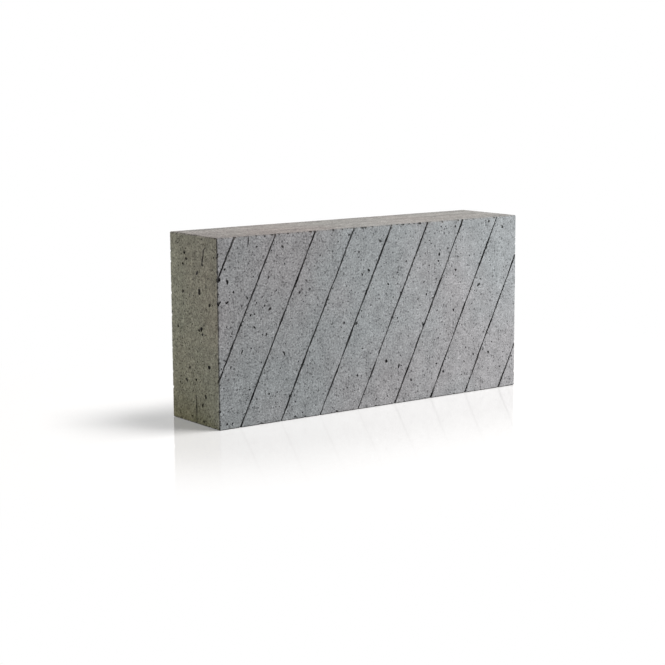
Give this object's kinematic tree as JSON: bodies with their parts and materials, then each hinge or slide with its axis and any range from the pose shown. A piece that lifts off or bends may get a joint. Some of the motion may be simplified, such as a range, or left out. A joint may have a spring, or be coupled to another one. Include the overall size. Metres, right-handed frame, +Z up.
{
  "type": "aircrete block",
  "caption": "Solid rectangular aircrete walling block: light, porous and wire-cut, with plain beds and ends and a key of straight slanting grooves scored in one long face.",
  "frame": {"origin": "middle of the bottom bed face, on the surface that the block stands on", "axes": "+Z up through the course height, +X along the wall (the block's length), +Y through the wall's thickness; the scored face looks along -Y"},
  "size_m": [0.44, 0.1, 0.215],
  "materials": {
    "aircrete": "matte"
  },
  "bodies": {
    "root": {"aircrete_block": "aircrete"}
  },
  "joints": []
}
